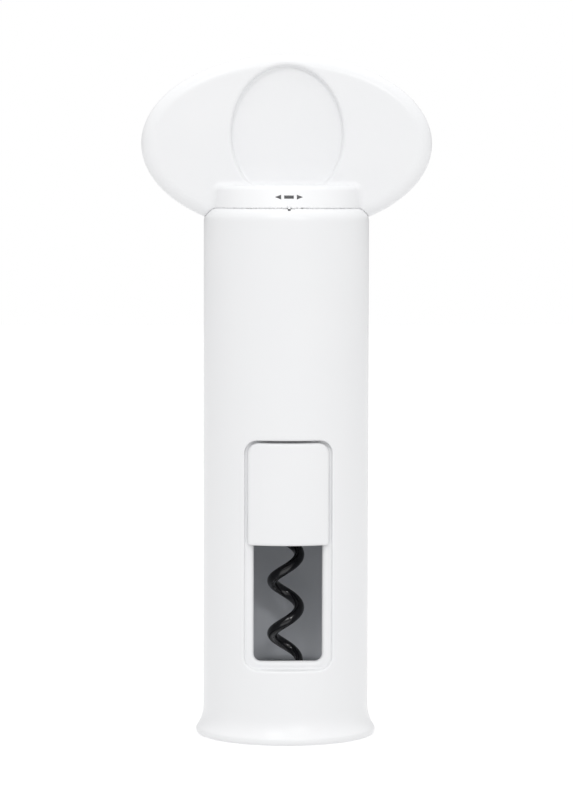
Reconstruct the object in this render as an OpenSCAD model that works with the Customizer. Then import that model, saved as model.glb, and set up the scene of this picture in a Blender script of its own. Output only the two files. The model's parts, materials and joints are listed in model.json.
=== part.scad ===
// Twist corkscrew: a winged handle turns a slotted drive tube, whose slots push a cross pin
// round a two-start helical groove. The pin carries the worm down out of the body and into
// the cork. A cork holder floats inside the body, and its thumb slide shows in the window.
// +Z is up, the window faces -Y, and the origin is the centre of the foot.

/* [Body] */
// Outside diameter of the body tube
body_d = 44; // [43.5:0.5:46]
// Height of the body, from the foot to its flat top
body_h = 141; // [141:0.5:142]
// Outside diameter of the flared foot
base_d = 48; // [47:0.5:50]
// Height over which the foot flares
flare_h = 6.4; // [5:0.2:8]
// Radius of the rounded shoulder
shoulder_r = 4; // [3.5:0.1:4.2]

/* [Window] */
// Width of the recess that the thumb slide runs in
recess_w = 23; // [22.6:0.1:23.2]
// Height of the lower edge of the recess
recess_bottom = 19.5; // [19.4:0.1:20]
// Height of the upper edge of the recess
recess_top = 79.9; // [79.8:0.1:80.4]
// Width of the opening through the recess floor
opening_w = 18; // [17.2:0.1:18.2]

/* [Handle] */
// Width of the winged handle
wing_w = 77.3; // [70:0.5:84]
// Full height of the ellipse that outlines the wing
wing_h = 47; // [45:0.5:50]
// Thickness of the wing
wing_t = 10; // [9.5:0.1:10.5]
// Diameter of the round hub under the wing
hub_d = 40; // [39:0.5:41]
// Depth of the thumb dish on each face
dish_depth = 2.2; // [1.5:0.1:2.4]

/* [Worm] */
// Outside diameter of the worm's helix
worm_od = 10; // [9.6:0.1:10.2]
// Diameter of the worm's wire
wire_d = 2.8; // [2.4:0.1:3]
// Lead of the worm and of the feed groove, per turn
worm_lead = 14.2; // [14:0.1:14.4]
// Height of the worm's point when the worm is drawn in
worm_tip_z = 16; // [15.9:0.1:16.4]

/* [Cork holder] */
// Diameter of the cork holder's disc
holder_d = 27.2; // [26:0.1:27.4]
// Height of the disc's underside when the holder is up
holder_z = 66; // [65.5:0.1:66.2]
// Width of the thumb slide
button_w = 21.4; // [21:0.1:21.6]
// Height of the thumb slide's lower edge when it is up
button_z = 52.3; // [52:0.1:52.6]

/* [Hidden] */
$fn = 96;
eps = 0.01;

// Body tube
body_r = body_d / 2;
base_r = base_d / 2;
cavity_r = 19.8;          // inside of the tube
top_wall = 2.6;           // thickness of the wall that closes the top
cavity_top = body_h - top_wall;
rim_h = 1.6;              // upright part of the foot's rim
rim_round = 1;            // rounding under the rim
flare_steps = 10;
flare_power = 2.2;        // how quickly the flare runs out into the tube
arc_steps = 10;
top_bore_r = 9.28;        // running bore for the drive tube's journal
washer_seat_r = 16;
washer_seat_depth = 0.6;

// Window frame
recess_floor_y = -17.6;   // flat floor that the thumb slide rides on
frame_back_y = -15.7;     // back face of the frame round the opening
frame_w = 24.4;
frame_bottom = 19.4;
frame_top = 81.2;
recess_corner = 3.4;
opening_corner = 2;
opening_bottom = 21.5;
opening_top = 77;

// Screws of the lower stack, on one circle
screw_angles = [90, 210, 330];
stack_screw_circle = 17.5;
screw_r = 1;              // shank of the small screws
screw_head_r = 1.6;
screw_head_h = 1.5;
clearance_r = 1.2;        // clearance hole for a small screw
pilot_r = screw_r + 0.01; // moulded pilot hole, drawn line to line
post_r = 2;
post_h = 11;

// Cork chamber
chamber_r = 14;
chamber_wall = 1.4;
chamber_bottom = 17.5;
chamber_top = 84.2;
chamber_window_w = 18.4;
flange_r = 19.6;
flange_t = 1.8;
rib_t = 1.6;

// Neck guide and lip pad
neck_bore_r = 15.2;
guide_bottom = 1.2;
guide_top = 15.5;
guide_chamfer = 1.3;
cork_hole_r = 12.9;

// Feed sleeve, its helical ribs and its end bearing
feed_inner_r = 11.6;      // wall that the cross pin's ends run beside
feed_outer_r = 13.2;
feed_bottom = 71;
feed_flange_z = 84.4;
feed_top = cavity_top - 0.2;
feed_counterbore_r = 12;
feed_counterbore_z = 133.6;
feed_neck_z = 124.6;      // the bore narrows above this height
feed_neck_r = 9.1;
end_bearing_r = 8.88;     // running bore for the tube's lower end
end_bearing_h = 6.1;
rib_inner_r = 9.1;
rib_outer_r = 11.6;
groove_h = 4.72;          // height of the groove between two ribs, along the axis
rib_step = 12;            // degrees between a rib's sections

// Drive tube
tube_r = 8.8;
tube_bore_r = 6.6;
tube_bottom = 71.2;
tube_floor = 129.5;       // underside of the solid head inside the tube
journal_r = 9.2;
drive_flange_r = 11.6;
drive_flange_z = 134;
drive_flange_top = 137.6;
slot_w = 4.5;
hex_r = 7.4;
hex_top = 144.8;
hub_z = body_h + 0.4;     // underside of the handle
drive_screw_r = 2;
drive_screw_head_r = 3.6;
drive_screw_head_h = 2.4;
drive_screw_head_z = 130;
drive_screw_top = 148.2;

// Worm, carriage and pin
feed_turns = 3;
travel = feed_turns * worm_lead;
helix_r = (worm_od - wire_d) / 2;
helix_top = 113;
shank_top = 119;
carriage_r = 6.4;
carriage_z = 113;
carriage_h = 13;
pin_r = 2;
pin_z = 122;
pin_len = 22.4;
worm_phase_z = 19.6;      // the wire stands at +X at this height
wire_sides = 12;
rings_per_turn = 22;
point_len = 0.55;         // turns over which the wire sharpens to its point
bend_len = 0.35;          // turns over which the wire bends in to the axis

// Cork holder and thumb slide
holder_hole_r = 5.6;
holder_t = 3;
web_w = 13;
web_bottom = 54.6;
web_back_y = -13.2;
keeper_w = 21.4;
keeper_front_y = -15.3;
keeper_back_y = -14;
keeper_z = 57;
keeper_h = 10;
button_face_r = 21.6;
button_top = 79.2;
button_back_y = -17.8;
button_corner = 2.6;
tooth_n = 6;
tooth_circle = 9.5;
tooth_h = 2.6;
slide_screw_z = [58.2, 65];
spring_x = 9.2;

// Handle
wing_a = wing_w / 2;
wing_b = wing_h / 2;
wing_z = 157.6;           // centre of the wing's ellipse
wing_round = 3.6;         // rounding of the wing's edge
wing_wall = 2;            // wall left outside the pockets in the wings
wing_points = 84;
hub_r = hub_d / 2;
hub_round = 1.2;
hub_lean = 28;            // the hub leans in by this angle at its front and back
hub_side_lean = 5;
hub_points = 84;
hub_top = 146.4;
hub_fillet = 1.6;         // small fillet between the hub and the wing's faces
hub_fillet_w = 30;
dish_a = 14.8;
dish_b = 18;
dish_z = 160.2;
dish_cove = 2;            // width of the dish's curved side
sweep_r = 36;             // curve of the dish's floor where it comes forward above the hub
sweep_top = 153;
shoulder_gap = 0.4;       // gap between the wing and the body's shoulder
core_disc_r = 16.5;
core_disc_t = 2.2;
core_neck_r = 8.8;
core_top = 149;
core_key_w = 16;
core_key_t = 5;
dowel_r = 1.5;
dowel_len = 6;
dowel_spots = [[-17.4, 152], [17.4, 152], [-17.4, 168], [17.4, 168]];
hub_screw_circle = 13.5;
hub_screw_angles = [45, 135, 225, 315];
hub_screw_len = 3;

// Points of an arc from angle a0 to a1 about the centre c
function arc(c, r, a0, a1, n = arc_steps) =
    [for (i = [0:n]) let (a = a0 + (a1 - a0) * i / n) [c[0] + r * cos(a), c[1] + r * sin(a)]];

function flare() =
    [for (i = [0:flare_steps]) let (t = i / flare_steps)
        [body_r + (base_r - body_r) * pow(1 - t, flare_power), rim_h + t * flare_h]];

// Outline of the body in the half plane, grown outwards by gap
function body_outline(gap = 0) = concat(
    [[0, 0]],
    arc([base_r - rim_round, rim_round], rim_round, -90, 0),
    flare(),
    arc([body_r - shoulder_r, body_h - shoulder_r], shoulder_r + gap, 0, 90),
    [[0, body_h + gap]]);

// Side view of a solid that flares out, with radius r, from the depth y0 at z_top to the hub's top
function flared(y0, r, z_top, n = 8) = concat(
    [for (i = [0:n]) let (z = hub_top - 0.4 + (z_top - hub_top + 0.4) * i / n)
        [y0 + r - sqrt(max(0, r * r - pow(z_top - z, 2))), z]],
    [[0, z_top], [0, hub_top - 0.4]]);

module ring(outer, inner, z, h) {
    translate([0, 0, z])
        difference() {
            cylinder(r = outer, h = h);
            translate([0, 0, -1]) cylinder(r = inner, h = h + 2);
        }
}

module at_angles(angles, circle) {
    for (a = angles) rotate([0, 0, a]) translate([circle, 0, 0]) children();
}

module rounded_rect(w, h, r) {
    translate([-w / 2 + r, 0]) square([w - 2 * r, h]);
    translate([-w / 2, r]) square([w, h - 2 * r]);
    for (x = [-1, 1], y = [r, h - r]) translate([x * (w / 2 - r), y]) circle(r = r);
}

// A rounded rectangle in the XZ plane, cut from y0 back to y1
module front_block(w, z0, z1, r, y0, y1) {
    translate([0, y1, z0]) rotate([90, 0, 0])
        linear_extrude(height = y1 - y0) rounded_rect(w, z1 - z0, r);
}

module pan_screw(r, head_r, head_h, len) {
    translate([0, 0, -head_h]) cylinder(r = head_r, h = head_h);
    translate([0, 0, -eps]) cylinder(r = r, h = len + eps);
}

module radial_ribs(angles, r0, r1, z, h) {
    for (a = angles) rotate([0, 0, a])
        translate([r0, -rib_t / 2, z]) cube([r1 - r0, rib_t, h]);
}

// ---- Fixed pieces ----

module window_frame() {
    intersection() {
        translate([-frame_w / 2, -cavity_r - 1, frame_bottom])
            cube([frame_w, cavity_r + 1 + frame_back_y, frame_top - frame_bottom]);
        cylinder(r = cavity_r + 0.6, h = body_h);
    }
}

module body_shell() {
    color("white") difference() {
        union() {
            difference() {
                rotate_extrude() polygon(body_outline());
                translate([0, 0, -1]) cylinder(r = cavity_r, h = cavity_top + 1);
            }
            window_frame();
            at_angles(screw_angles, stack_screw_circle) translate([0, 0, frame_bottom]) {
                cylinder(r = post_r, h = post_h);
                translate([0, -post_r, 0]) cube([cavity_r + 0.6 - stack_screw_circle, 2 * post_r, post_h]);
            }
        }
        front_block(recess_w, recess_bottom, recess_top, recess_corner, -body_d, recess_floor_y);
        front_block(opening_w, opening_bottom, opening_top, opening_corner, -body_d, -12);
        translate([0, 0, cavity_top - 1]) cylinder(r = top_bore_r, h = top_wall + 2);
        translate([0, 0, body_h - washer_seat_depth]) cylinder(r = washer_seat_r, h = 1);
        at_angles(screw_angles, stack_screw_circle)
            translate([0, 0, frame_bottom - 1]) cylinder(r = pilot_r, h = post_h);
    }
}

module feed_sleeve() {
    color("lightgray") difference() {
        union() {
            translate([0, 0, feed_bottom]) cylinder(r = feed_outer_r, h = feed_top - feed_bottom);
            translate([0, 0, feed_flange_z]) cylinder(r = flange_r, h = flange_t);
            translate([0, 0, feed_top - flange_t]) cylinder(r = flange_r, h = flange_t);
            radial_ribs([0, 60, 120, 180, 240, 300], feed_outer_r - 1, flange_r,
                        feed_flange_z + 1, feed_top - feed_flange_z - 2);
            at_angles(screw_angles, stack_screw_circle) translate([0, 0, feed_flange_z]) {
                cylinder(r = post_r, h = post_h);
                translate([feed_outer_r - 0.6 - stack_screw_circle, -post_r, 0])
                    cube([stack_screw_circle - feed_outer_r + 0.6, 2 * post_r, post_h]);
            }
        }
        translate([0, 0, feed_bottom - 1]) cylinder(r = feed_inner_r, h = feed_neck_z - feed_bottom + 1);
        translate([0, 0, feed_neck_z - 1]) cylinder(r = feed_neck_r, h = body_h);
        translate([0, 0, feed_counterbore_z]) cylinder(r = feed_counterbore_r, h = 10);
        at_angles(screw_angles, stack_screw_circle)
            translate([0, 0, feed_flange_z - 1]) cylinder(r = pilot_r, h = post_h);
    }
}

// A rib fills the space between the groove's two starts, from the neck down to the free ring
module feed_rib(start_angle) {
    rib_h = worm_lead / 2 - groove_h;
    top_z = pin_z - worm_lead / 4;
    last = feed_turns * 360 - 180;
    n = floor(last / rib_step);
    sections = [for (i = [0:n])
        let (a = start_angle - i * rib_step, z = top_z - worm_lead * i * rib_step / 360)
        [for (c = [[rib_inner_r, -1], [rib_outer_r, -1], [rib_outer_r, 1], [rib_inner_r, 1]])
            [c[0] * cos(a), c[0] * sin(a), z + c[1] * rib_h / 2]]];
    points = [for (s = sections, p = s) p];
    sides = [for (i = [0:n - 1], j = [0:3])
        let (a = 4 * i + j, b = 4 * i + (j + 1) % 4) each [[a, a + 4, b], [b, a + 4, b + 4]]];
    polyhedron(points, concat([[0, 1, 2, 3]], [[4 * n + 3, 4 * n + 2, 4 * n + 1, 4 * n]], sides));
}

module feed_ribs() {
    color("lightgray") {
        feed_rib(0);
        feed_rib(180);
    }
}

module end_bearing() {
    color("gainsboro") ring(feed_inner_r - 0.02, end_bearing_r, feed_bottom, end_bearing_h);
}

module cork_chamber() {
    color("gray") difference() {
        union() {
            ring(chamber_r + chamber_wall, chamber_r, chamber_bottom, chamber_top - chamber_bottom);
            ring(flange_r, chamber_r, chamber_bottom, flange_t);
            ring(flange_r, chamber_r, chamber_top - flange_t, flange_t);
            radial_ribs([0, 45, 135, 180], chamber_r + 1, flange_r,
                        chamber_bottom + 1, chamber_top - chamber_bottom - 2);
        }
        translate([-chamber_window_w / 2, -body_r, opening_bottom - 1.5])
            cube([chamber_window_w, body_r - 4, opening_top - opening_bottom + 3]);
        at_angles(screw_angles, stack_screw_circle) {
            translate([0, 0, chamber_bottom - 1]) cylinder(r = clearance_r, h = flange_t + 2);
            translate([0, 0, chamber_top - flange_t - 1]) cylinder(r = clearance_r, h = flange_t + 2);
        }
    }
}

module neck_guide() {
    color("lightgray") difference() {
        translate([0, 0, guide_bottom]) cylinder(r = flange_r, h = guide_top - guide_bottom);
        cylinder(r = neck_bore_r, h = guide_top + 1);
        translate([0, 0, guide_bottom - eps])
            cylinder(r1 = neck_bore_r + guide_chamfer, r2 = neck_bore_r, h = guide_chamfer);
        at_angles(screw_angles, stack_screw_circle) {
            cylinder(r = clearance_r, h = guide_top + 1);
            cylinder(r = screw_head_r + 0.1, h = guide_bottom + screw_head_h + 1.7);
        }
    }
}

module lip_pad() {
    color("dimgray") difference() {
        ring(flange_r, cork_hole_r, guide_top, chamber_bottom - guide_top);
        at_angles(screw_angles, stack_screw_circle) cylinder(r = clearance_r, h = chamber_bottom + 1);
    }
}

module top_washer() {
    color("gainsboro") ring(washer_seat_r - 0.2, journal_r + 0.3, body_h - washer_seat_depth, 0.9);
}

module under_washer() {
    color("gainsboro") ring(drive_flange_r, journal_r + 0.3, drive_flange_top + 0.05, 0.7);
}

module frame_screws() {
    color("silver") at_angles(screw_angles, stack_screw_circle)
        translate([0, 0, chamber_top - flange_t])
            pan_screw(screw_r, screw_head_r, screw_head_h, 11);
}

module base_screws() {
    color("silver") at_angles(screw_angles, stack_screw_circle)
        translate([0, 0, guide_bottom + screw_head_h + 1.7])
            pan_screw(screw_r, screw_head_r, screw_head_h, 24);
}

// ---- Handle ----

// A stack of ellipses joined into one solid: each ring is [a, b, depth], and they run outwards
module loft(rings, z, n) {
    count = len(rings);
    points = [for (r = rings, i = [0:n - 1])
        let (t = 360 * (i + 0.5) / n) [r[0] * cos(t), -r[2], z + r[1] * sin(t)]];
    sides = [for (k = [0:count - 2], i = [0:n - 1])
        let (a = k * n + i, b = k * n + (i + 1) % n) each [[a, a + n, b], [b, a + n, b + n]]];
    polyhedron(points, concat([[for (i = [0:n - 1]) i]],
                              [[for (i = [n - 1:-1:0]) (count - 1) * n + i]], sides));
}

// Half of the wing, from the middle plane to its front face
module half_wing() {
    edge = [for (i = [0:4]) let (t = 90 * i / 4)
        [wing_a - wing_round * (1 - cos(t)), wing_b - wing_round * (1 - cos(t)),
         wing_t / 2 - wing_round * (1 - sin(t))]];
    difference() {
        loft(concat([[wing_a, wing_b, 0]], edge), wing_z, wing_points);
        rotate_extrude() polygon(body_outline(shoulder_gap));
    }
}

// The thumb dish: a flat floor with a curved side
module dish() {
    floor_y = wing_t / 2 - dish_depth;
    loft([[dish_a - dish_cove, dish_b - dish_cove, floor_y],
          [dish_a - dish_cove * 0.45, dish_b - dish_cove * 0.45, floor_y + dish_depth * 0.3],
          [dish_a, dish_b, wing_t / 2],
          [dish_a, dish_b, wing_t + 6]], dish_z, 60);
}

// Half width of the hub at a height, for a side that leans in and has a rounded top edge
function hub_half(lean, z) =
    let (round_z = hub_top - hub_round,
         round_x = hub_r - (hub_round + (round_z - hub_z) * sin(lean)) / cos(lean))
    z < round_z + hub_round * sin(lean)
        ? hub_r - (z - hub_z) * tan(lean)
        : round_x + sqrt(max(0, pow(hub_round, 2) - pow(z - round_z, 2)));

// The front half of the hub: a stack of ellipses that leans in most at the front
module half_hub() {
    heights = concat([hub_z], [for (t = [0:15:90]) hub_top - hub_round * (1 - sin(t))]);
    intersection() {
        rotate([-90, 0, 0])
            loft([for (z = heights) [hub_half(hub_side_lean, z), hub_half(hub_lean, z), z]], 0, hub_points);
        translate([-hub_r - 1, -hub_r - 1, hub_z - 1])
            cube([2 * hub_r + 2, hub_r + 1, hub_top - hub_z + 2]);
    }
}

// The flared solid of a side view, w wide
module flare_out(w, side) {
    translate([-w / 2, 0, 0]) mirror([0, 1, 0]) rotate([90, 0, 90])
        linear_extrude(height = w) polygon(side);
}

module half_handle() {
    difference() {
        union() {
            half_wing();
            flare_out(hub_fillet_w, flared(wing_t / 2 - 0.02, hub_fillet, hub_top + hub_fillet - 0.3));
        }
        difference() {
            dish();
            flare_out(2 * dish_a + 2, flared(wing_t / 2 - dish_depth - 0.02, sweep_r, sweep_top));
        }
    }
    half_hub();
}

// What is cored out of both halves: pockets in the wings, the core's seat and the dowel holes
module handle_pockets() {
    for (s = [-1, 1]) translate([s * 27.2, wing_t / 2 - wing_wall, 150]) rotate([90, 0, 0])
        linear_extrude(height = wing_t - 2 * wing_wall) rounded_rect(14, 15.4, 5);
    cylinder(r = core_disc_r + 0.05, h = hub_z + core_disc_t + 0.05);
    cylinder(r = core_neck_r + 0.05, h = hex_top + 0.85);
    translate([-core_key_w / 2 - 0.05, -core_key_t / 2 - 0.05, hub_z])
        cube([core_key_w + 0.1, core_key_t + 0.1, core_top - hub_z + 0.05]);
    for (p = dowel_spots) translate([p[0], dowel_len / 2, p[1]]) rotate([90, 0, 0])
        cylinder(r = dowel_r + 0.01, h = dowel_len);
    at_angles(hub_screw_angles, hub_screw_circle)
        translate([0, 0, hub_z + 1]) cylinder(r = pilot_r, h = hub_screw_len + 0.2);
}

module handle_front() {
    color("white") difference() {
        half_handle();
        handle_pockets();
    }
}

module handle_rear() {
    color("white") difference() {
        mirror([0, 1, 0]) half_handle();
        handle_pockets();
    }
}

module handle_core() {
    color("lightgray") difference() {
        union() {
            translate([0, 0, hub_z]) cylinder(r = core_disc_r, h = core_disc_t);
            translate([0, 0, hub_z]) cylinder(r = core_neck_r, h = hex_top + 0.8 - hub_z);
            translate([-core_key_w / 2, -core_key_t / 2, hub_z])
                cube([core_key_w, core_key_t, core_top - hub_z]);
        }
        translate([0, 0, hub_z - 1]) cylinder(r = hex_r + 0.05, h = hex_top + 1.1 - hub_z, $fn = 6);
        translate([0, 0, hub_z]) cylinder(r = drive_screw_r + 0.01, h = drive_screw_top + 0.2 - hub_z);
        at_angles(hub_screw_angles, hub_screw_circle) {
            translate([0, 0, hub_z - 1]) cylinder(r = clearance_r, h = core_disc_t + 2);
            translate([0, 0, hub_z - 1]) cylinder(r = screw_head_r + 0.1, h = 1.9);
        }
    }
}

module handle_dowels() {
    color("gainsboro") for (p = dowel_spots)
        translate([p[0], dowel_len / 2, p[1]]) rotate([90, 0, 0])
            cylinder(r = dowel_r, h = dowel_len);
}

module hub_screws() {
    color("silver") at_angles(hub_screw_angles, hub_screw_circle)
        translate([0, 0, hub_z + 0.9]) pan_screw(screw_r, screw_head_r, 0.8, hub_screw_len);
}

// ---- Drive ----

module drive_tube() {
    color("darkgray") difference() {
        union() {
            translate([0, 0, tube_bottom]) cylinder(r = tube_r, h = drive_flange_top - tube_bottom);
            translate([0, 0, drive_flange_z])
                cylinder(r = drive_flange_r, h = drive_flange_top - drive_flange_z);
            translate([0, 0, drive_flange_top - eps])
                cylinder(r = journal_r, h = hub_z - drive_flange_top);
            translate([0, 0, drive_flange_top]) cylinder(r = hex_r, h = hex_top - drive_flange_top, $fn = 6);
        }
        translate([0, 0, tube_bottom - 1]) cylinder(r = tube_bore_r, h = tube_floor - tube_bottom + 1);
        cylinder(r = drive_screw_head_r + 0.2, h = drive_screw_head_z + drive_screw_head_h);
        cylinder(r = drive_screw_r + 0.1, h = hex_top + 1);
        translate([-body_r, -slot_w / 2, tube_bottom - 1])
            cube([body_d, slot_w, pin_z + slot_w / 2 - tube_bottom + 1]);
    }
}

module drive_screw() {
    color("silver") translate([0, 0, drive_screw_head_z + drive_screw_head_h])
        pan_screw(drive_screw_r, drive_screw_head_r, drive_screw_head_h,
                  drive_screw_top - drive_screw_head_z - drive_screw_head_h);
}

// Turns of the worm, counted up from its point
worm_turns = (helix_top - worm_tip_z) / worm_lead;
worm_rings = round(worm_turns * rings_per_turn);

function smooth(t) = let (c = min(1, max(0, t))) c * c * (3 - 2 * c);

// Radius of the wire's path, and of the wire, at a number of turns above the point
function path_r(turns) = helix_r * (1 - smooth((turns - worm_turns + bend_len) / bend_len));
function wire_r(turns) = wire_d / 2 * (0.12 + 0.88 * sqrt(min(1, turns / point_len)));

function worm_ring(turns) =
    let (z = worm_tip_z + turns * worm_lead,
         a = 360 * (z - worm_phase_z) / worm_lead,
         slope = atan2(worm_lead, 2 * PI * max(path_r(turns), 0.01)))
    [for (k = [0:wire_sides - 1])
        let (b = 360 * k / wire_sides, out = wire_r(turns) * cos(b), up = wire_r(turns) * sin(b),
             r = path_r(turns) + out)
        [r * cos(a) + up * sin(slope) * sin(a),
         r * sin(a) - up * sin(slope) * cos(a),
         z + up * cos(slope)]];

// Wire swept along the helix, bending in to a straight shank on the axis
module worm() {
    rings = concat([for (i = [0:worm_rings]) worm_ring(worm_turns * i / worm_rings)],
                   [[for (k = [0:wire_sides - 1])
                       let (p = worm_ring(worm_turns)[k]) [p[0], p[1], shank_top]]]);
    n = len(rings);
    sides = [for (i = [0:n - 2], k = [0:wire_sides - 1])
        let (a = i * wire_sides + k, b = i * wire_sides + (k + 1) % wire_sides)
        each [[a, b, a + wire_sides], [b, b + wire_sides, a + wire_sides]]];
    color([0.12, 0.13, 0.15]) polyhedron(
        [for (r = rings, p = r) p],
        concat([[for (k = [wire_sides - 1:-1:0]) k]],
               [[for (k = [0:wire_sides - 1]) (n - 1) * wire_sides + k]], sides));
}

module worm_carriage() {
    color("dimgray") difference() {
        translate([0, 0, carriage_z]) cylinder(r = carriage_r, h = carriage_h);
        translate([0, 0, carriage_z - 1]) cylinder(r = wire_d / 2 + 0.01, h = shank_top - carriage_z + 1.01);
        translate([-carriage_r - 1, 0, pin_z]) rotate([0, 90, 0])
            cylinder(r = pin_r + 0.01, h = 2 * carriage_r + 2);
    }
}

module follower_pin() {
    color("silver") translate([-pin_len / 2, 0, pin_z]) rotate([0, 90, 0])
        cylinder(r = pin_r, h = pin_len);
}

// ---- Cork holder ----

module thumb_slide() {
    color("white") difference() {
        intersection() {
            cylinder(r = button_face_r, h = body_h);
            union() {
                front_block(button_w, button_z, button_top, button_corner, -body_d, button_back_y);
                translate([-button_w / 2, -body_d, button_z])
                    cube([button_w, body_d + button_back_y, 2 * button_corner]);
            }
        }
        for (z = slide_screw_z) translate([0, button_back_y + 1, z]) rotate([90, 0, 0])
            cylinder(r = pilot_r, h = 3.4);
    }
}

module cork_holder() {
    color("gray") difference() {
        union() {
            translate([0, 0, holder_z]) cylinder(r = holder_d / 2, h = holder_t);
            translate([-web_w / 2, button_back_y, web_bottom])
                cube([web_w, web_back_y - button_back_y, holder_z + holder_t - web_bottom]);
            translate([-web_w / 2, button_back_y, holder_z])
                cube([web_w, -button_back_y - 8, holder_t]);
            translate([-keeper_w / 2, keeper_front_y, keeper_z])
                cube([keeper_w, keeper_back_y - keeper_front_y, keeper_h]);
            for (i = [0:tooth_n - 1]) rotate([0, 0, 30 + 360 * i / tooth_n])
                translate([tooth_circle, 0, holder_z - tooth_h])
                    cylinder(r1 = 0.3, r2 = 1.3, h = tooth_h + eps);
        }
        translate([0, 0, holder_z - 1]) cylinder(r = holder_hole_r, h = holder_t + 2);
        for (z = slide_screw_z) translate([0, web_back_y + 1, z]) rotate([90, 0, 0]) {
            cylinder(r = clearance_r, h = 8);
            cylinder(r = screw_head_r + 0.1, h = 2.6);
        }
        for (s = [-1, 1]) translate([s * spring_x - 1.3, keeper_front_y - 1, keeper_z + 1])
            cube([2.6, 1.6, keeper_h - 2]);
    }
}

module slide_screws() {
    color("silver") for (z = slide_screw_z)
        translate([0, web_back_y - 1.6, z]) rotate([90, 0, 0])
            pan_screw(screw_r, screw_head_r, 1.2, 5);
}

// Bowed leaf springs that press on the back of the window frame
module slide_springs() {
    half = keeper_h / 2 - 1.1;
    bow = 0.45;
    leaf = 0.2;
    radius = (half * half + bow * bow) / (2 * bow);
    span = asin(half / radius);
    color("silver") for (s = [-1, 1])
        translate([s * spring_x - 1, frame_back_y + 0.06 + radius, keeper_z + keeper_h / 2])
            rotate([90, 0, 90]) linear_extrude(height = 2)
                polygon(concat(arc([0, 0], radius, 180 - span, 180 + span),
                               arc([0, 0], radius - leaf, 180 + span, 180 - span)));
}

body_shell();
feed_sleeve();
feed_ribs();
end_bearing();
cork_chamber();
neck_guide();
lip_pad();
top_washer();
under_washer();
frame_screws();
base_screws();
handle_front();
handle_rear();
handle_core();
handle_dowels();
hub_screws();
drive_tube();
drive_screw();
worm();
worm_carriage();
follower_pin();
thumb_slide();
cork_holder();
slide_screws();
slide_springs();
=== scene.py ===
"""Looks of the twist corkscrew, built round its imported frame.

Lengths are millimetres in the frame's own axes (+Z up, the window faces -Y) until new_piece()
turns them into metres.
"""

import json
import math

import bmesh
import bpy
import numpy as np
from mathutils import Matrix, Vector


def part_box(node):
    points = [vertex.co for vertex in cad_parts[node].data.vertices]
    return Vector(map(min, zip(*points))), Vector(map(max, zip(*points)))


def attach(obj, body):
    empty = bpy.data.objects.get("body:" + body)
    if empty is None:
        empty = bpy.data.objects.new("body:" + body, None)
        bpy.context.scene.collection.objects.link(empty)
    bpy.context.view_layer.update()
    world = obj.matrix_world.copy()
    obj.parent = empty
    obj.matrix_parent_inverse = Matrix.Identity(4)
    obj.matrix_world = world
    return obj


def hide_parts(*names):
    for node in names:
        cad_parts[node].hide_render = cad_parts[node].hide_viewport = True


MM = 0.001

# Lengths shorter than this count as nothing
NEAR = 1e-6

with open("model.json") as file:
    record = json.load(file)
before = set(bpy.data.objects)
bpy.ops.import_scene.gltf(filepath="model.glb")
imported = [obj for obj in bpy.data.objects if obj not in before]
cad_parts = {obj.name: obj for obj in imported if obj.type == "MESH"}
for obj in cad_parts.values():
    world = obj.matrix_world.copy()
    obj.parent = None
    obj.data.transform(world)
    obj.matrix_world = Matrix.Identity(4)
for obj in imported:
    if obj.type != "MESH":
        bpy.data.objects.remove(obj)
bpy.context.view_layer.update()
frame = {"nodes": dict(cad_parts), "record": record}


def low(node):
    """A node's lowest corner, in millimetres."""
    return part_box(node)[0] / MM


def high(node):
    """A node's highest corner, in millimetres."""
    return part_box(node)[1] / MM


# ---- Sizes ----

# Body
BODY_R = 22.0
CAVITY_R = 19.8
FOOT_R = high("body_shell").x
BODY_TOP = high("body_shell").z
RIM_ROUND = 1.0
RIM_TOP = 1.6
FLARE_H = 6.4
FLARE_POWER = 2.2
FLARE_STEPS = 16
WALL_ROW_LOW = 12.0
WALL_ROWS_HIGH = (91.5, 100.5, 109.5, 118.5, 127.5)
BACK_COLUMNS = 56
SHOULDER_R = 4.0
TOP_WALL = 2.6
TOP_BORE_R = 9.28
WASHER_SEAT_R = 16.0
WASHER_SEAT_DEPTH = 0.6
WASHER_SEAT_BEVEL = 0.15

# Window: the recess, the opening through its floor, and their soft edges
RECESS_HALF = 11.5
RECESS_LOW = 19.5
RECESS_HIGH = 79.9
RECESS_CORNER = 3.4
RECESS_FLOOR = 17.6
FRAME_BACK = 15.7
OPENING_HALF = 9.0
OPENING_LOW = 21.5
OPENING_HIGH = 77.0
OPENING_CORNER = 2.0
PATCH_MARGIN = 2.6
PATCH_INNER_MARGIN = 1.2
FRAME_MARGIN = 3.3
FRAME_BEVEL = 0.2
RECESS_RIM_ROUND = 0.6
RECESS_FLOOR_ROUND = 0.5
OPENING_ROUND = 1.1

# Handle
WING_A = high("handle_front").x
WING_B = 23.5
WING_Z = high("handle_front").z - WING_B
WING_HALF_T = 5.0
WING_ROUND = 3.7
HUB_R = 20.0
HUB_LEAN = 28.0
HUB_SIDE_LEAN = 5.0
HUB_TOP = 146.4
HUB_ROUND = 1.2
HUB_FILLET = 1.6
HANDLE_GAP = 0.03
CORE_SEAT_R = 16.55
CORE_SEAT_TOP = 143.65
SEAM_HALF = 0.03

# Dish
DISH_A = 14.8
DISH_B = 18.0
DISH_Z = 160.2
DISH_DEPTH = 2.2
DISH_COVE = 0.6
DISH_LIP = 1.2
RUNOUT_Z = 153.0
RUNOUT_R = 36.0

# The handle's net: its cells, and how its points find the surface
NET_STEP = 0.33
SLOPE_STEP = 0.01
SHARP_SPREAD = 0.93
PLANE_CUTOFF = 0.08
LEAST_SLOPE_SQUARED = 0.05
LARGEST_MOVE = 0.5
SURFACE_PASSES = 3

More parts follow.
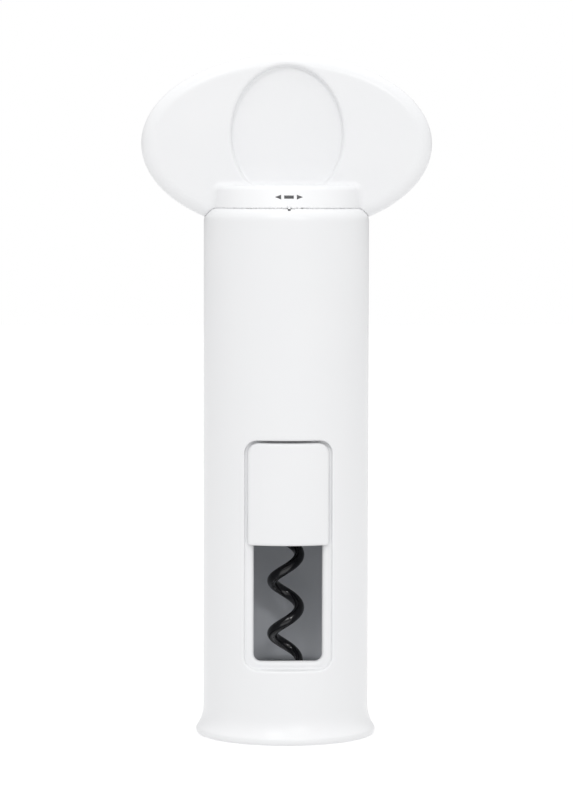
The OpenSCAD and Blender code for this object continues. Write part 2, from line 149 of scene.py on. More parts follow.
# Thumb slide
SLIDE_FACE_R = 21.6
SLIDE_BACK = 17.8
SLIDE_HALF = high("thumb_slide").x
SLIDE_LOW = low("thumb_slide").z
SLIDE_HIGH = high("thumb_slide").z
SLIDE_EDGE = 0.8
SLIDE_BEVEL = 0.15
SLIDE_TOP_CORNER = 2.9
SLIDE_LOW_CORNER = 0.7
SLIDE_GRID_INSET = 3.6
SLIDE_GRID_MARGIN = 0.5

# Worm
WORM_LEAD = 14.2
WORM_PATH_R = 3.6
WORM_WIRE_R = 1.4
WORM_TIP = low("worm").z
WORM_HELIX_TOP = 113.0
WORM_SHANK_TOP = high("worm").z
WORM_PHASE_Z = 19.6
POINT_TURNS = 0.5
BEND_TURNS = 0.35

# Printed marks
INK = 0.02
ARROW_Z = 143.4
BAR_HALF = 1.25
BAR_H = 0.42
HEAD_BACK = 2.05
HEAD_TIP = 3.65
HEAD_H = 0.62
DOT_R = 0.42
DOT_TILT = 50.0
DOT_SIDES = 24

# Light: the sky's brightness by height, and two square lights (places and sizes in metres)
SKY_TOP = 1.42
SKY_HORIZON = 0.36
SKY_BELOW = 0.92
SKY_DUSK = 0.15
KEY_POWER = 3.0
KEY_SIZE = 0.35
KEY_PLACE = (-0.38, -1.2, 1.15)
FRONT_POWER = 2.2
FRONT_SIZE = 0.22
FRONT_PLACE = (0.39, -1.29, 0.76)
LIGHT_AIM = (0, 0, 0.1)
FLOOR_HALF = 3.0
FLOOR_GLOW = 0.2

# Camera, in metres and degrees
CAMERA_DISTANCE = 0.870
CAMERA_AZIMUTH = -2.0
CAMERA_TILT = 3.398
CAMERA_ROLL = -0.12
CAMERA_LENS = 146.8
CAMERA_SENSOR = 36.0
CAMERA_CLIP = 0.05


# ---- Mesh helpers ----


def new_piece(name, points, faces, body, replaced=()):
    """Makes a smooth-shaded mesh from millimetre points and lets it ride on a body."""
    mesh = bpy.data.meshes.new(name)
    mesh.from_pydata([tuple(c * MM for c in p) for p in points], [], faces)
    mesh.validate()
    obj = bpy.data.objects.new(name, mesh)
    bpy.context.collection.objects.link(obj)
    weld(obj)
    mesh.shade_smooth()
    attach(obj, body)
    if replaced:
        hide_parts(*replaced)
    return obj


def weld(obj, distance=0.002):
    """Joins points that coincide and turns every face outwards."""
    work = bmesh.new()
    work.from_mesh(obj.data)
    bmesh.ops.remove_doubles(work, verts=work.verts, dist=distance * MM)
    bmesh.ops.dissolve_degenerate(work, edges=work.edges, dist=distance * MM)
    bmesh.ops.recalc_face_normals(work, faces=work.faces)
    work.to_mesh(obj.data)
    work.free()


class Shape:
    """Collects points and faces. Points that coincide are welded by new_piece()."""

    def __init__(self):
        self.points = []
        self.faces = []

    def row(self, points):
        """Adds points and gives their numbers."""
        start = len(self.points)
        self.points.extend(points)
        return list(range(start, start + len(points)))

    def bridge(self, rows, closed=True, skip=None):
        """Quads between each row of points and the next."""
        for k, (a, b) in enumerate(zip(rows, rows[1:])):
            count = len(a) if closed else len(a) - 1
            for i in range(count):
                if skip and skip(k, i):
                    continue
                j = (i + 1) % len(a)
                self.faces.append((a[i], a[j], b[j], b[i]))


def rounded_ring(half, z_low, z_high, radius, across=12, along=30, corner=8):
    """A rounded rectangle's outline in (x, z), anticlockwise from the lower left side."""
    centres = [
        (half - radius, z_low + radius, -90),
        (half - radius, z_high - radius, 0),
        (-half + radius, z_high - radius, 90),
        (-half + radius, z_low + radius, 180),
    ]
    arcs = [
        [
            (
                x + radius * math.cos(math.radians(a0 + 90 * i / corner)),
                z + radius * math.sin(math.radians(a0 + 90 * i / corner)),
            )
            for i in range(corner + 1)
        ]
        for x, z, a0 in centres
    ]
    ring = []
    for k, arc in enumerate(arcs):
        ring.extend(arc)
        start, end = arc[-1], arcs[(k + 1) % 4][0]
        steps = along if k % 2 == 0 else across
        ring.extend(
            (
                start[0] + (end[0] - start[0]) * i / steps,
                start[1] + (end[1] - start[1]) * i / steps,
            )
            for i in range(1, steps)
        )
    return ring


def square_ring(half, z_low, z_high, radius, margin, **counts):
    """The rounded ring's points pushed straight out, or fanned at the corners, to a rectangle."""
    tiny = 1e-9
    reach = radius + margin
    out = []
    for x, z in rounded_ring(half, z_low, z_high, radius, **counts):
        cx = math.copysign(half - radius, x)
        cz = z_low + radius if z < (z_low + z_high) / 2 else z_high - radius
        dx = x - cx if abs(x) > half - radius + tiny else 0.0
        outside_z = z < z_low + radius - tiny or z > z_high - radius + tiny
        dz = z - cz if outside_z else 0.0
        if dx == 0.0:
            out.append((x, cz + math.copysign(reach, dz)))
        elif dz == 0.0:
            out.append((cx + math.copysign(reach, dx), z))
        else:
            stretch = reach / max(abs(dx), abs(dz))
            out.append((cx + dx * stretch, cz + dz * stretch))
    return out


def arc_points(centre, radius, start, end, steps):
    """Points of an arc, with its angles in degrees."""
    angles = [math.radians(start + (end - start) * i / steps) for i in range(steps + 1)]
    return [
        (centre[0] + radius * math.cos(a), centre[1] + radius * math.sin(a))
        for a in angles
    ]


def quarter_turn(steps):
    """Angles from 0 to a quarter turn, in radians."""
    return [math.radians(90 * i / steps) for i in range(steps + 1)]


# ---- Body shell ----


def window_columns(square, radius, back_columns):
    """Angles of the body's columns: first those that meet the window's patch, then the rest."""
    top = max(z for _, z in square)
    xs = sorted({round(x, 6) for x, z in square if abs(z - top) < NEAR})
    front = [math.asin(x / radius) for x in xs]
    gap = 2 * math.pi - 2 * front[-1]
    back = [front[-1] + gap * i / back_columns for i in range(1, back_columns)]
    return front + back, len(front)


def window_rows(square):
    """Heights of the body's rows beside the window's patch."""
    side = max(x for x, _ in square)
    return sorted({round(z, 6) for x, z in square if abs(x - side) < NEAR})


def turned(radius, z, angles):
    """A level ring of points. Angle 0 is the front."""
    return [(radius * math.sin(a), -radius * math.cos(a), z) for a in angles]


def build_body_shell():
    """The white body: a turned wall with the window's recess and opening set into its front."""
    shape = Shape()
    recess = (RECESS_HALF, RECESS_LOW, RECESS_HIGH, RECESS_CORNER)
    opening = (OPENING_HALF, OPENING_LOW, OPENING_HIGH, OPENING_CORNER)
    outer_square = square_ring(*recess, PATCH_MARGIN)
    inner_square = square_ring(*opening, FRAME_MARGIN)
    outer_angles, patch_columns = window_columns(outer_square, BODY_R, BACK_COLUMNS)
    inner_angles, _ = window_columns(inner_square, CAVITY_R, BACK_COLUMNS)

    # Outside, from the foot's inner edge up to the washer's seat
    foot = [(CAVITY_R, 0.0), (FOOT_R - RIM_ROUND, 0.0)]
    foot += arc_points((FOOT_R - RIM_ROUND, RIM_ROUND), RIM_ROUND, -90, 0, 6)[1:]
    for i in range(FLARE_STEPS + 1):
        t = i / FLARE_STEPS
        radius = BODY_R + (FOOT_R - BODY_R) * (1 - t) ** FLARE_POWER
        foot.append((radius, RIM_TOP + t * FLARE_H))
    foot.append((BODY_R, WALL_ROW_LOW))
    beside = [(BODY_R, z) for z in window_rows(outer_square)]
    above = [(BODY_R, z) for z in WALL_ROWS_HIGH]
    centre = (BODY_R - SHOULDER_R, BODY_TOP - SHOULDER_R)
    above += arc_points(centre, SHOULDER_R, 0, 90, 12)
    above += [
        (WASHER_SEAT_R + WASHER_SEAT_BEVEL, BODY_TOP),
        (WASHER_SEAT_R, BODY_TOP - WASHER_SEAT_BEVEL),
        (WASHER_SEAT_R, BODY_TOP - WASHER_SEAT_DEPTH),
        (TOP_BORE_R, BODY_TOP - WASHER_SEAT_DEPTH),
    ]
    profile = foot + beside + above
    outside = [shape.row(turned(r, z, outer_angles)) for r, z in profile]
    first = len(foot)
    last = first + len(beside) - 1
    shape.bridge(
        outside, skip=lambda k, i: first <= k < last and i < patch_columns - 1
    )

    # Inside, from the foot up to the ceiling and through the top bore
    inner_rows = window_rows(inner_square)
    inner_profile = [(CAVITY_R, 0.0)] + [(CAVITY_R, z) for z in inner_rows]
    inner_profile += [
        (CAVITY_R, BODY_TOP - TOP_WALL),
        (TOP_BORE_R, BODY_TOP - TOP_WALL),
        (TOP_BORE_R, BODY_TOP - WASHER_SEAT_DEPTH),
    ]
    inside = [shape.row(turned(r, z, inner_angles)) for r, z in inner_profile]
    shape.bridge(
        inside,
        skip=lambda k, i: 1 <= k < len(inner_rows) and i < patch_columns - 1,
    )
    shape.bridge([inside[0], outside[0]])
    shape.bridge([inside[-1], outside[-1]])

    # The window's patch, from the body's surface in to the back of the frame
    def on_body(ring, depth=0.0, radius=BODY_R):
        return shape.row(
            [(x, -math.sqrt(radius**2 - x**2) + depth, z) for x, z in ring]
        )

    def flat(ring, y):
        return shape.row([(x, -y, z) for x, z in ring])

    def grown(window, by):
        half, z_low, z_high, radius = window
        return rounded_ring(half + by, z_low - by, z_high + by, radius + by)

    rows = [on_body(outer_square)]
    rows.append(on_body(grown(recess, PATCH_INNER_MARGIN)))
    for t in quarter_turn(5):
        by = RECESS_RIM_ROUND * (1 - math.sin(t))
        rows.append(on_body(grown(recess, by), RECESS_RIM_ROUND * (1 - math.cos(t))))
    for t in quarter_turn(5):
        by = -RECESS_FLOOR_ROUND * (1 - math.cos(t))
        y = RECESS_FLOOR + RECESS_FLOOR_ROUND * (1 - math.sin(t))
        rows.append(flat(grown(recess, by), y))
    for t in quarter_turn(4):
        by = OPENING_ROUND * (1 - math.sin(t))
        rows.append(flat(grown(opening, by), RECESS_FLOOR - OPENING_ROUND * (1 - math.cos(t))))
    rows.append(flat(grown(opening, 0), FRAME_BACK + FRAME_BEVEL))
    rows.append(flat(grown(opening, FRAME_BEVEL), FRAME_BACK))
    rows.append(flat(inner_square, FRAME_BACK))
    rows.append(on_body(inner_square, radius=CAVITY_R))
    shape.bridge(rows)
    return new_piece(
        "body_skin", shape.points, shape.faces, "frame", ["body_shell"]
    )


# ---- Handle, as a distance field ----


def smooth_max(a, b, k):
    """The larger of two fields, rounded over a width k where they cross."""
    h = np.maximum(k - np.abs(a - b), 0) / k
    return np.maximum(a, b) + h * h * k / 4


def smooth_min(a, b, k):
    """The smaller of two fields, rounded over a width k where they cross."""
    return -smooth_max(-a, -b, k)


def rounded_both(a, b, radius):
    """Inside both fields, with a true arc of the radius where their edges meet."""
    qa, qb = a + radius, b + radius
    outside = np.hypot(np.maximum(qa, 0), np.maximum(qb, 0))
    return np.minimum(np.maximum(qa, qb), 0) + outside - radius


def ellipse_field(x, z, a, b):
    """Distance to an ellipse, near enough close to its outline, negative inside."""
    k0 = np.hypot(x / a, z / b)
    k1 = np.hypot(x / a**2, z / b**2)
    return k0 * (k0 - 1) / np.maximum(k1, 1e-9)


def hub_halves(z):
    """Half width and half depth of the hub at a height, which leans in most at its front."""
    rise = z - BODY_TOP
    across = HUB_R - rise * math.tan(math.radians(HUB_SIDE_LEAN))
    return across, HUB_R - rise * math.tan(math.radians(HUB_LEAN))


def handle_solid(x, y, z):
    """Distance to the handle before it is cut to fit the body, negative inside."""
    depth = np.abs(y)
    wing = rounded_both(
        ellipse_field(x, z - WING_Z, WING_A, WING_B), depth - WING_HALF_T, WING_ROUND
    )

    # Dish: a coved ellipse whose floor comes forward on an arc towards the hub
    floor_depth = WING_HALF_T - DISH_DEPTH
    outline = ellipse_field(x, z - DISH_Z, DISH_A, DISH_B)
    arc = np.hypot(depth - floor_depth - RUNOUT_R, z - RUNOUT_Z) - RUNOUT_R
    floor = np.where(z > RUNOUT_Z, floor_depth - depth, arc)
    dish = rounded_both(outline, floor, DISH_COVE)
    wing = smooth_max(wing, -dish, DISH_LIP)

    # Hub: a stack of ellipses that leans in
    side = ellipse_field(x, y, *hub_halves(z)) * math.cos(math.radians(HUB_LEAN))
    hub = rounded_both(side, z - HUB_TOP, HUB_ROUND)
    return smooth_min(wing, hub, HUB_FILLET)


def body_room(x, y, z):
    """How deep a point is in the room left for the body's shoulder, negative outside it."""
    shoulder = rounded_both(np.hypot(x, y) - BODY_R, z - BODY_TOP, SHOULDER_R)
    return HANDLE_GAP - shoulder


def handle_field(x, y, z):
    """Distance to the handle's surface, negative inside."""
    core = np.maximum(np.hypot(x, y) - CORE_SEAT_R, z - CORE_SEAT_TOP)
    outside = np.maximum(handle_solid(x, y, z), body_room(x, y, z))
    return np.maximum(outside, -core)


def slopes(field, points):
    """The field's gradient at each point."""
    steps = np.eye(3) * SLOPE_STEP
    ways = [field(*(points + e).T) - field(*(points - e).T) for e in steps]
    return np.stack(ways, axis=1) / (2 * SLOPE_STEP)


def place_points(field, cell, middle, crossings, step):
    """One point for each cell: on the surface, or on the sharp edge that runs through the cell."""
    square = np.zeros((len(cell), 3, 3))
    right = np.zeros((len(cell), 3))
    normals = np.zeros((len(cell), 3))
    count = np.zeros(len(cell))
    for crossing, at, axis, t in crossings:
        spot = cell[crossing] + step * at
        spot[:, axis] += step * t[crossing]
        normal = slopes(field, spot)
        normal /= np.maximum(np.linalg.norm(normal, axis=1), NEAR)[:, None]
        square[crossing] += normal[:, :, None] * normal[:, None, :]
        level = (normal * (spot - middle[crossing])).sum(1)
        right[crossing] += normal * level[:, None]
        normals[crossing] += normal
        count[crossing] += 1
    sharp = np.linalg.norm(normals, axis=1) / count < SHARP_SPREAD

    # Smooth cells: slide the point along the field's gradient on to the surface
    points = middle.copy()
    largest = LARGEST_MOVE * step
    for _ in range(SURFACE_PASSES):
        slope = slopes(field, points)
        size = np.maximum((slope**2).sum(1), LEAST_SLOPE_SQUARED)
        move = -(field(*points.T) / size)[:, None] * slope
        points += np.clip(move, -largest, largest)

    # Cells with an edge: the point nearest to all the planes that the surface follows there
    solve = np.linalg.pinv(square[sharp], rcond=PLANE_CUTOFF)
    points[sharp] = middle[sharp] + (solve @ right[sharp][:, :, None])[:, :, 0]
    points[sharp] = np.clip(points[sharp], cell[sharp], cell[sharp] + step)
    return points


def split_quads(field, points, quads):
    """Splits each quad along the diagonal that lies closer to the surface."""
    a, b, c, d = quads.T
    along_ac = np.abs(field(*((points[a] + points[c]) / 2).T))
    along_bd = np.abs(field(*((points[b] + points[d]) / 2).T))
    use_ac = (along_ac <= along_bd)[:, None]
    one = np.where(use_ac, np.stack([a, b, c], 1), np.stack([a, b, d], 1))
    two = np.where(use_ac, np.stack([a, c, d], 1), np.stack([b, c, d], 1))
    return np.concatenate([one, two])


def surface_net(field, lows, highs, step):
    """A mesh of the field's zero surface, with one point in each cell that the surface crosses."""
    axes = [np.arange(a - 2 * step, b + 2.5 * step, step) for a, b in zip(lows, highs)]
    grid = np.stack(np.meshgrid(*axes, indexing="ij"))
    value = field(*grid)
    inside = value < 0
    cells = tuple(n - 1 for n in value.shape)
    total = np.zeros(cells + (3,))
    count = np.zeros(cells)
    crossings = []
    corners = [(i, j, k) for i in (0, 1) for j in (0, 1) for k in (0, 1)]

    def part(array, c):
        """The array's values at one corner of every cell."""
        return array[tuple(slice(o, o + n) for o, n in zip(c, cells))]

    # Where the surface crosses each edge of each cell
    for c in corners:
        for axis in range(3):
            if c[axis]:
                continue
            d = tuple(v + (n == axis) for n, v in enumerate(c))
            va, vb = part(value, c), part(value, d)
            crossing = part(inside, c) != part(inside, d)
            t = np.where(crossing, va / np.where(crossing, va - vb, 1), 0)
            for n in range(3):
                offset = c[n] + (t if n == axis else 0)
                total[..., n] += np.where(crossing, offset, 0)
            count += crossing
            crossings.append((crossing, np.array(c), axis, t))
    used = count > 0
    index = np.full(cells, -1)
    index[used] = np.arange(used.sum())
    where = np.argwhere(used)
    origin = np.array([a[0] for a in axes])
    points = origin + step * (where + total[used] / count[used][:, None])

    crossings = [(c[used], at, axis, t[used]) for c, at, axis, t in crossings]
    points = place_points(field, origin + step * where, points, crossings, step)

    # A quad round each grid edge that crosses the surface
    faces = []
    for axis in range(3):
        u, v = (axis + 1) % 3, (axis + 2) % 3
        near = [slice(1, n) for n in cells]
        near[axis] = slice(0, cells[axis])
        far = list(near)
        far[axis] = slice(1, cells[axis] + 1)
        change = inside[tuple(near)] != inside[tuple(far)]
        spots = np.argwhere(change)
        spots[:, u] += 1
        spots[:, v] += 1
        ring = []
        for du, dv in ((-1, -1), (0, -1), (0, 0), (-1, 0)):
            at = spots.copy()
            at[:, u] += du
            at[:, v] += dv
            ring.append(index[tuple(at.T)])
        faces.append(np.stack(ring, 1))
    return points, split_quads(field, points, np.concatenate(faces)).tolist()


def cut_half(obj, side):
    """Keeps the half on one side of the handle's middle plane and closes the cut."""
    work = bmesh.new()
    work.from_mesh(obj.data)
    cut = bmesh.ops.bisect_plane(
        work,
        geom=work.verts[:] + work.edges[:] + work.faces[:],
        plane_co=(0, side * SEAM_HALF * MM, 0),
        plane_no=(0, side, 0),
        clear_inner=True,
    )
    edges = [e for e in cut["geom_cut"] if isinstance(e, bmesh.types.BMEdge)]
    made = bmesh.ops.edgeloop_fill(work, edges=edges)["faces"]
    for face in made:
        face.smooth = False
    for edge in edges:
        if edge.is_valid:
            edge.smooth = False
    bmesh.ops.recalc_face_normals(work, faces=work.faces)
    work.to_mesh(obj.data)
    work.free()


def build_handle():
    """Both moulded halves of the handle, which meet at its middle plane."""
    step = NET_STEP
    lows = (-WING_A, -HUB_R, low("handle_front").z)
    highs = (WING_A, HUB_R, WING_Z + WING_B)
    points, faces = surface_net(handle_field, lows, highs, step)
    halves = []
    for name, node, side in (
        ("handle_skin_front", "handle_front", -1),
        ("handle_skin_rear", "handle_rear", 1),
    ):
        half = new_piece(name, points, faces, "handle", [node])
        cut_half(half, side)
        halves.append(half)
    return halves


# ---- Thumb slide ----


def build_thumb_slide():
    """A curved block with soft edges, round corners at the top and nearly square ones below."""
    shape = Shape()
    counts = {"across": 14, "along": 26, "corner": 8}

    def outline(by):
        """The outline grown by a distance, with the lower corners tighter than the upper ones."""
        sides = (SLIDE_HALF + by, SLIDE_LOW - by, SLIDE_HIGH + by)
        upper = rounded_ring(*sides, max(SLIDE_TOP_CORNER + by, 0.3), **counts)
        lower = rounded_ring(*sides, max(SLIDE_LOW_CORNER + by, 0.15), **counts)
        middle = (SLIDE_LOW + SLIDE_HIGH) / 2
        return [u if u[1] > middle else w for u, w in zip(upper, lower)]

    def face(ring, sunk):
        return shape.row(
            [(x, -math.sqrt(SLIDE_FACE_R**2 - x**2) + sunk, z) for x, z in ring]
        )

    rows = [shape.row([(x, -SLIDE_BACK, z) for x, z in outline(-SLIDE_BEVEL)])]
    rows.append(shape.row([(x, -SLIDE_BACK - SLIDE_BEVEL, z) for x, z in outline(0)]))
    for t in quarter_turn(6):
        by = -SLIDE_EDGE * (1 - math.cos(t))
        rows.append(face(outline(by), SLIDE_EDGE * (1 - math.sin(t))))
    shape.bridge(rows)

    # The front is a grid inside the last ring, and the back is one face
    margin = SLIDE_GRID_MARGIN
    inset = SLIDE_GRID_INSET + margin
    square = square_ring(
        SLIDE_HALF - inset, SLIDE_LOW + inset, SLIDE_HIGH - inset, margin, margin, **counts
    )
    border = face(square, 0.0)
    shape.bridge([rows[-1], border])
    right = max(x for x, _ in square)
    top = max(z for _, z in square)
    on_top = sorted({round(x, 6) for x, z in square if abs(z - top) < NEAR})
    on_side = sorted({round(z, 6) for x, z in square if abs(x - right) < NEAR})
    grid = [face([(x, z) for x in on_top], 0.0) for z in on_side]
    shape.bridge(grid, closed=False)
    shape.faces.append(tuple(rows[0]))
    return new_piece(
        "thumb_slide_skin", shape.points, shape.faces, "holder", ["thumb_slide"]
    )


# ---- Worm ----


def build_worm():
    """Round wire wound into a right-handed helix, sharpened at the tip and bent in at the top."""
    sides, rings_per_turn = 20, 44
    ahead_turns = 0.001
    turns = (WORM_HELIX_TOP - WORM_TIP) / WORM_LEAD
    count = round(turns * rings_per_turn)

    def ease(t):
        """A smooth step from 0 to 1."""
        t = min(max(t, 0.0), 1.0)
        return t * t * (3 - 2 * t)

    def centre(turn):
        """The wire's centre after some turns from the tip, and its angle."""
        z = WORM_TIP + turn * WORM_LEAD
        angle = 2 * math.pi * (z - WORM_PHASE_Z) / WORM_LEAD
        radius = WORM_PATH_R * (1 - ease((turn - turns + BEND_TURNS) / BEND_TURNS))
        return Vector((radius * math.cos(angle), radius * math.sin(angle), z)), angle

    shape = Shape()
    rows = []
    for i in range(count + 1):
        turn = turns * i / count
        here, angle = centre(turn)
        ahead, _ = centre(turn + ahead_turns)
        along = (ahead - here).normalized()
        out = Vector((math.cos(angle), math.sin(angle), 0))
        up = along.cross(out).normalized()
        wire = WORM_WIRE_R * (0.1 + 0.9 * math.sqrt(min(1.0, turn / POINT_TURNS)))
        ring = []
        for k in range(sides):
            a = 2 * math.pi * k / sides
            ring.append(here + (out * math.cos(a) + up * math.sin(a)) * wire)
        rows.append(shape.row([tuple(p) for p in ring]))
    top = [(shape.points[k][0], shape.points[k][1], WORM_SHANK_TOP) for k in rows[-1]]
    rows.append(shape.row(top))
    shape.bridge(rows)
    shape.faces.append(tuple(rows[0]))
    shape.faces.append(tuple(reversed(rows[-1])))
    return new_piece("worm_skin", shape.points, shape.faces, "worm_unit", ["worm"])


# ---- Printed marks ----


def wrap_mark(name, outlines, body):
    """Thin printed shapes, wrapped on the hub. Each outline is a list of (x, z) points."""
    shape = Shape()

    def wrapped(outline, lift):
        halves = [hub_halves(z) for _, z in outline]
        return shape.row(
            [
                (x, -deep * math.sqrt(1 - (x / wide) ** 2) - lift, z)
                for (wide, deep), (x, z) in zip(halves, outline)
            ]
        )

    for outline in outlines:
        inner, outer = wrapped(outline, -INK), wrapped(outline, INK)
        shape.bridge([inner, outer])
        shape.faces.append(tuple(reversed(inner)))
        shape.faces.append(tuple(outer))
    return new_piece(name, shape.points, shape.faces, body)


def build_marks():
    """A plain double-headed turning arrow on the hub, and the dot it is read against."""
    bar_low, bar_high = ARROW_Z - BAR_H, ARROW_Z + BAR_H
    bar = [(x, bar_low) for x in (-BAR_HALF, 0, BAR_HALF)]
    bar += [(x, bar_high) for x in (BAR_HALF, 0, -BAR_HALF)]
    right = [(HEAD_BACK, ARROW_Z - HEAD_H), (HEAD_TIP, ARROW_Z), (HEAD_BACK, ARROW_Z + HEAD_H)]
    left = [(-x, z) for x, z in reversed(right)]
    arrow = wrap_mark("turning_mark", [bar, right, left], "handle")

    # The dot lies on the shoulder's arc
    tilt = math.radians(DOT_TILT)
    normal = Vector((0, -math.cos(tilt), math.sin(tilt)))
    centre = Vector((0, SHOULDER_R - BODY_R, BODY_TOP - SHOULDER_R)) + normal * SHOULDER_R
    side = Vector((1, 0, 0))
    up = normal.cross(side)
    shape = Shape()
    rings = []
    for offset in (-INK * 2, INK):
        ring = []
        for k in range(DOT_SIDES):
            a = 2 * math.pi * k / DOT_SIDES
            p = centre + (side * math.cos(a) + up * math.sin(a)) * DOT_R + normal * offset
            ring.append(tuple(p))
        rings.append(shape.row(ring))
    shape.bridge(rings)
    shape.faces.append(tuple(reversed(rings[0])))
    shape.faces.append(tuple(rings[1]))
    dot = new_piece("index_dot", shape.points, shape.faces, "frame")
    return arrow, dot


# ---- Materials ----


def material(name):
    """A new node material: its tree and its Principled shader."""
    mat = bpy.data.materials.new(name)
    mat.use_nodes = True
    return mat, mat.node_tree, mat.node_tree.nodes["Principled BSDF"]


def node(tree, kind, **values):
    """Adds a node and sets its inputs or its attributes by name."""
    made = tree.nodes.new(kind)
    for key, value in values.items():
        if key in made.inputs:
            made.inputs[key].default_value = value
        else:
            setattr(made, key, value)
    return made


def object_space(tree):
    """The piece's own coordinates, in metres."""
    return tree.nodes.new("ShaderNodeTexCoord").outputs["Object"]


def noise(tree, scale_per_m, detail=3.0, roughness=0.55):
    """A noise of so many features a metre, from 0 to 1."""
    made = node(tree, "ShaderNodeTexNoise", Scale=scale_per_m, Detail=detail, Roughness=roughness)
    tree.links.new(object_space(tree), made.inputs["Vector"])
    return made.outputs["Fac"]


def ramp(tree, factor, low_value, high_value, start=0.35, end=0.65):
    """Maps a factor between start and end to a range of values."""
    ends = {"From Min": start, "From Max": end, "To Min": low_value, "To Max": high_value}
    made = node(tree, "ShaderNodeMapRange", **ends)
    tree.links.new(factor, made.inputs["Value"])
    return made.outputs["Result"]


def two_tone(tree, factor, first, second):
    """A colour that wanders between two close tones."""
    made = node(tree, "ShaderNodeMix", data_type="RGBA")
    ends = [s for s in made.inputs if s.type == "RGBA"]
    for end, colour in zip(ends, (first, second)):
        end.default_value = (*colour, 1)
    tree.links.new(factor, made.inputs["Factor"])
    return next(s for s in made.outputs if s.type == "RGBA")


def bump(tree, shader, height, strength, distance):
    """A fine relief on the shader's normal, its distance in metres."""
    made = node(tree, "ShaderNodeBump", Strength=strength, Distance=distance)
    tree.links.new(height, made.inputs["Height"])
    tree.links.new(made.outputs["Normal"], shader.inputs["Normal"])


def white_plastic():
    """Satin-gloss moulded plastic with a very fine texture and faint handling marks."""
    mat, tree, shader = material("white_plastic")
    tone = two_tone(tree, noise(tree, 45), (0.86, 0.866, 0.88), (0.885, 0.888, 0.895))
    tree.links.new(tone, shader.inputs["Base Color"])
    smudge = ramp(tree, noise(tree, 90, 5), 0.3, 0.37)
    tree.links.new(smudge, shader.inputs["Roughness"])
    shader.inputs["IOR"].default_value = 1.49
    bump(tree, shader, noise(tree, 2600, 2), 0.05, 0.00002)
    return mat


def liner_plastic():
    """Satin light-grey plastic of the cork chamber and the cork holder."""
    mat, tree, shader = material("grey_liner_plastic")
    tone = two_tone(tree, noise(tree, 60), (0.61, 0.627, 0.655), (0.66, 0.675, 0.705))
    tree.links.new(tone, shader.inputs["Base Color"])
    tree.links.new(ramp(tree, noise(tree, 150), 0.38, 0.5), shader.inputs["Roughness"])
    bump(tree, shader, noise(tree, 1800, 2), 0.08, 0.00003)
    return mat


def moulding_plastic():
    """Mid-grey plastic of the feed, the neck guide and the handle's core."""
    mat, tree, shader = material("light_moulding")
    tone = two_tone(tree, noise(tree, 70), (0.42, 0.43, 0.45), (0.47, 0.48, 0.5))
    tree.links.new(tone, shader.inputs["Base Color"])
    tree.links.new(ramp(tree, noise(tree, 160), 0.42, 0.55), shader.inputs["Roughness"])
    bump(tree, shader, noise(tree, 1500, 3), 0.1, 0.00004)
    return mat


def acetal_plastic():
    """Smooth off-white plastic of the bearing, washers and dowels."""
    mat, tree, shader = material("acetal")
    tone = two_tone(tree, noise(tree, 120), (0.76, 0.76, 0.73), (0.8, 0.8, 0.78))
    tree.links.new(tone, shader.inputs["Base Color"])
    tree.links.new(ramp(tree, noise(tree, 200), 0.3, 0.42), shader.inputs["Roughness"])
    return mat


def soft_pad():
    """Matt black rubber of the lip pad."""
    mat, tree, shader = material("soft_pad_rubber")
    tone = two_tone(tree, noise(tree, 140), (0.028, 0.028, 0.03), (0.045, 0.045, 0.048))
    tree.links.new(tone, shader.inputs["Base Color"])
    tree.links.new(ramp(tree, noise(tree, 400), 0.6, 0.75), shader.inputs["Roughness"])
    bump(tree, shader, noise(tree, 900, 4), 0.2, 0.00005)
    return mat


def cast_metal():
    """Cast metal of the drive tube and the carriage, with a grainy skin."""
    mat, tree, shader = material("cast_drive_metal")
    tone = two_tone(tree, noise(tree, 110), (0.5, 0.51, 0.53), (0.6, 0.61, 0.62))
    tree.links.new(tone, shader.inputs["Base Color"])
    tree.links.new(ramp(tree, noise(tree, 300), 0.34, 0.5), shader.inputs["Roughness"])
    shader.inputs["Metallic"].default_value = 1.0
    bump(tree, shader, noise(tree, 1200, 4), 0.15, 0.00004)
    return mat


def plated_steel():
    """Plated steel of the screws, the cross pin and the springs."""
    mat, tree, shader = material("zinc_plated_steel")
    tone = two_tone(tree, noise(tree, 260), (0.6, 0.61, 0.62), (0.7, 0.7, 0.69))
    tree.links.new(tone, shader.inputs["Base Color"])
    tree.links.new(ramp(tree, noise(tree, 500), 0.22, 0.34), shader.inputs["Roughness"])
    shader.inputs["Metallic"].default_value = 1.0
    return mat


def worm_coat():
    """Glossy black non-stick coat, with the slight orange peel of a baked coating."""
    mat, tree, shader = material("black_worm_coat")
    tone = two_tone(tree, noise(tree, 240), (0.006, 0.006, 0.007), (0.012, 0.012, 0.014))
    tree.links.new(tone, shader.inputs["Base Color"])
    tree.links.new(ramp(tree, noise(tree, 320), 0.1, 0.17), shader.inputs["Roughness"])
    bump(tree, shader, noise(tree, 1400, 2), 0.12, 0.00004)
    return mat


def mark_ink():
    """Dark grey printing ink."""
    mat, tree, shader = material("grey_ink")
    tone = two_tone(tree, noise(tree, 3000), (0.09, 0.09, 0.095), (0.13, 0.13, 0.135))
    tree.links.new(tone, shader.inputs["Base Color"])
    tree.links.new(ramp(tree, noise(tree, 1500), 0.45, 0.6), shader.inputs["Roughness"])
    return mat


def floor_white():
    """A white floor that glows a little, so that it meets the white sky without a line."""
    mat, tree, shader = material("floor_white")
    tone = two_tone(tree, noise(tree, 4), (0.9, 0.9, 0.9), (0.92, 0.92, 0.92))
    tree.links.new(tone, shader.inputs["Base Color"])
    shader.inputs["Roughness"].default_value = 0.32
    shader.inputs["Emission Color"].default_value = (1, 1, 1, 1)
    shader.inputs["Emission Strength"].default_value = FLOOR_GLOW
    return mat


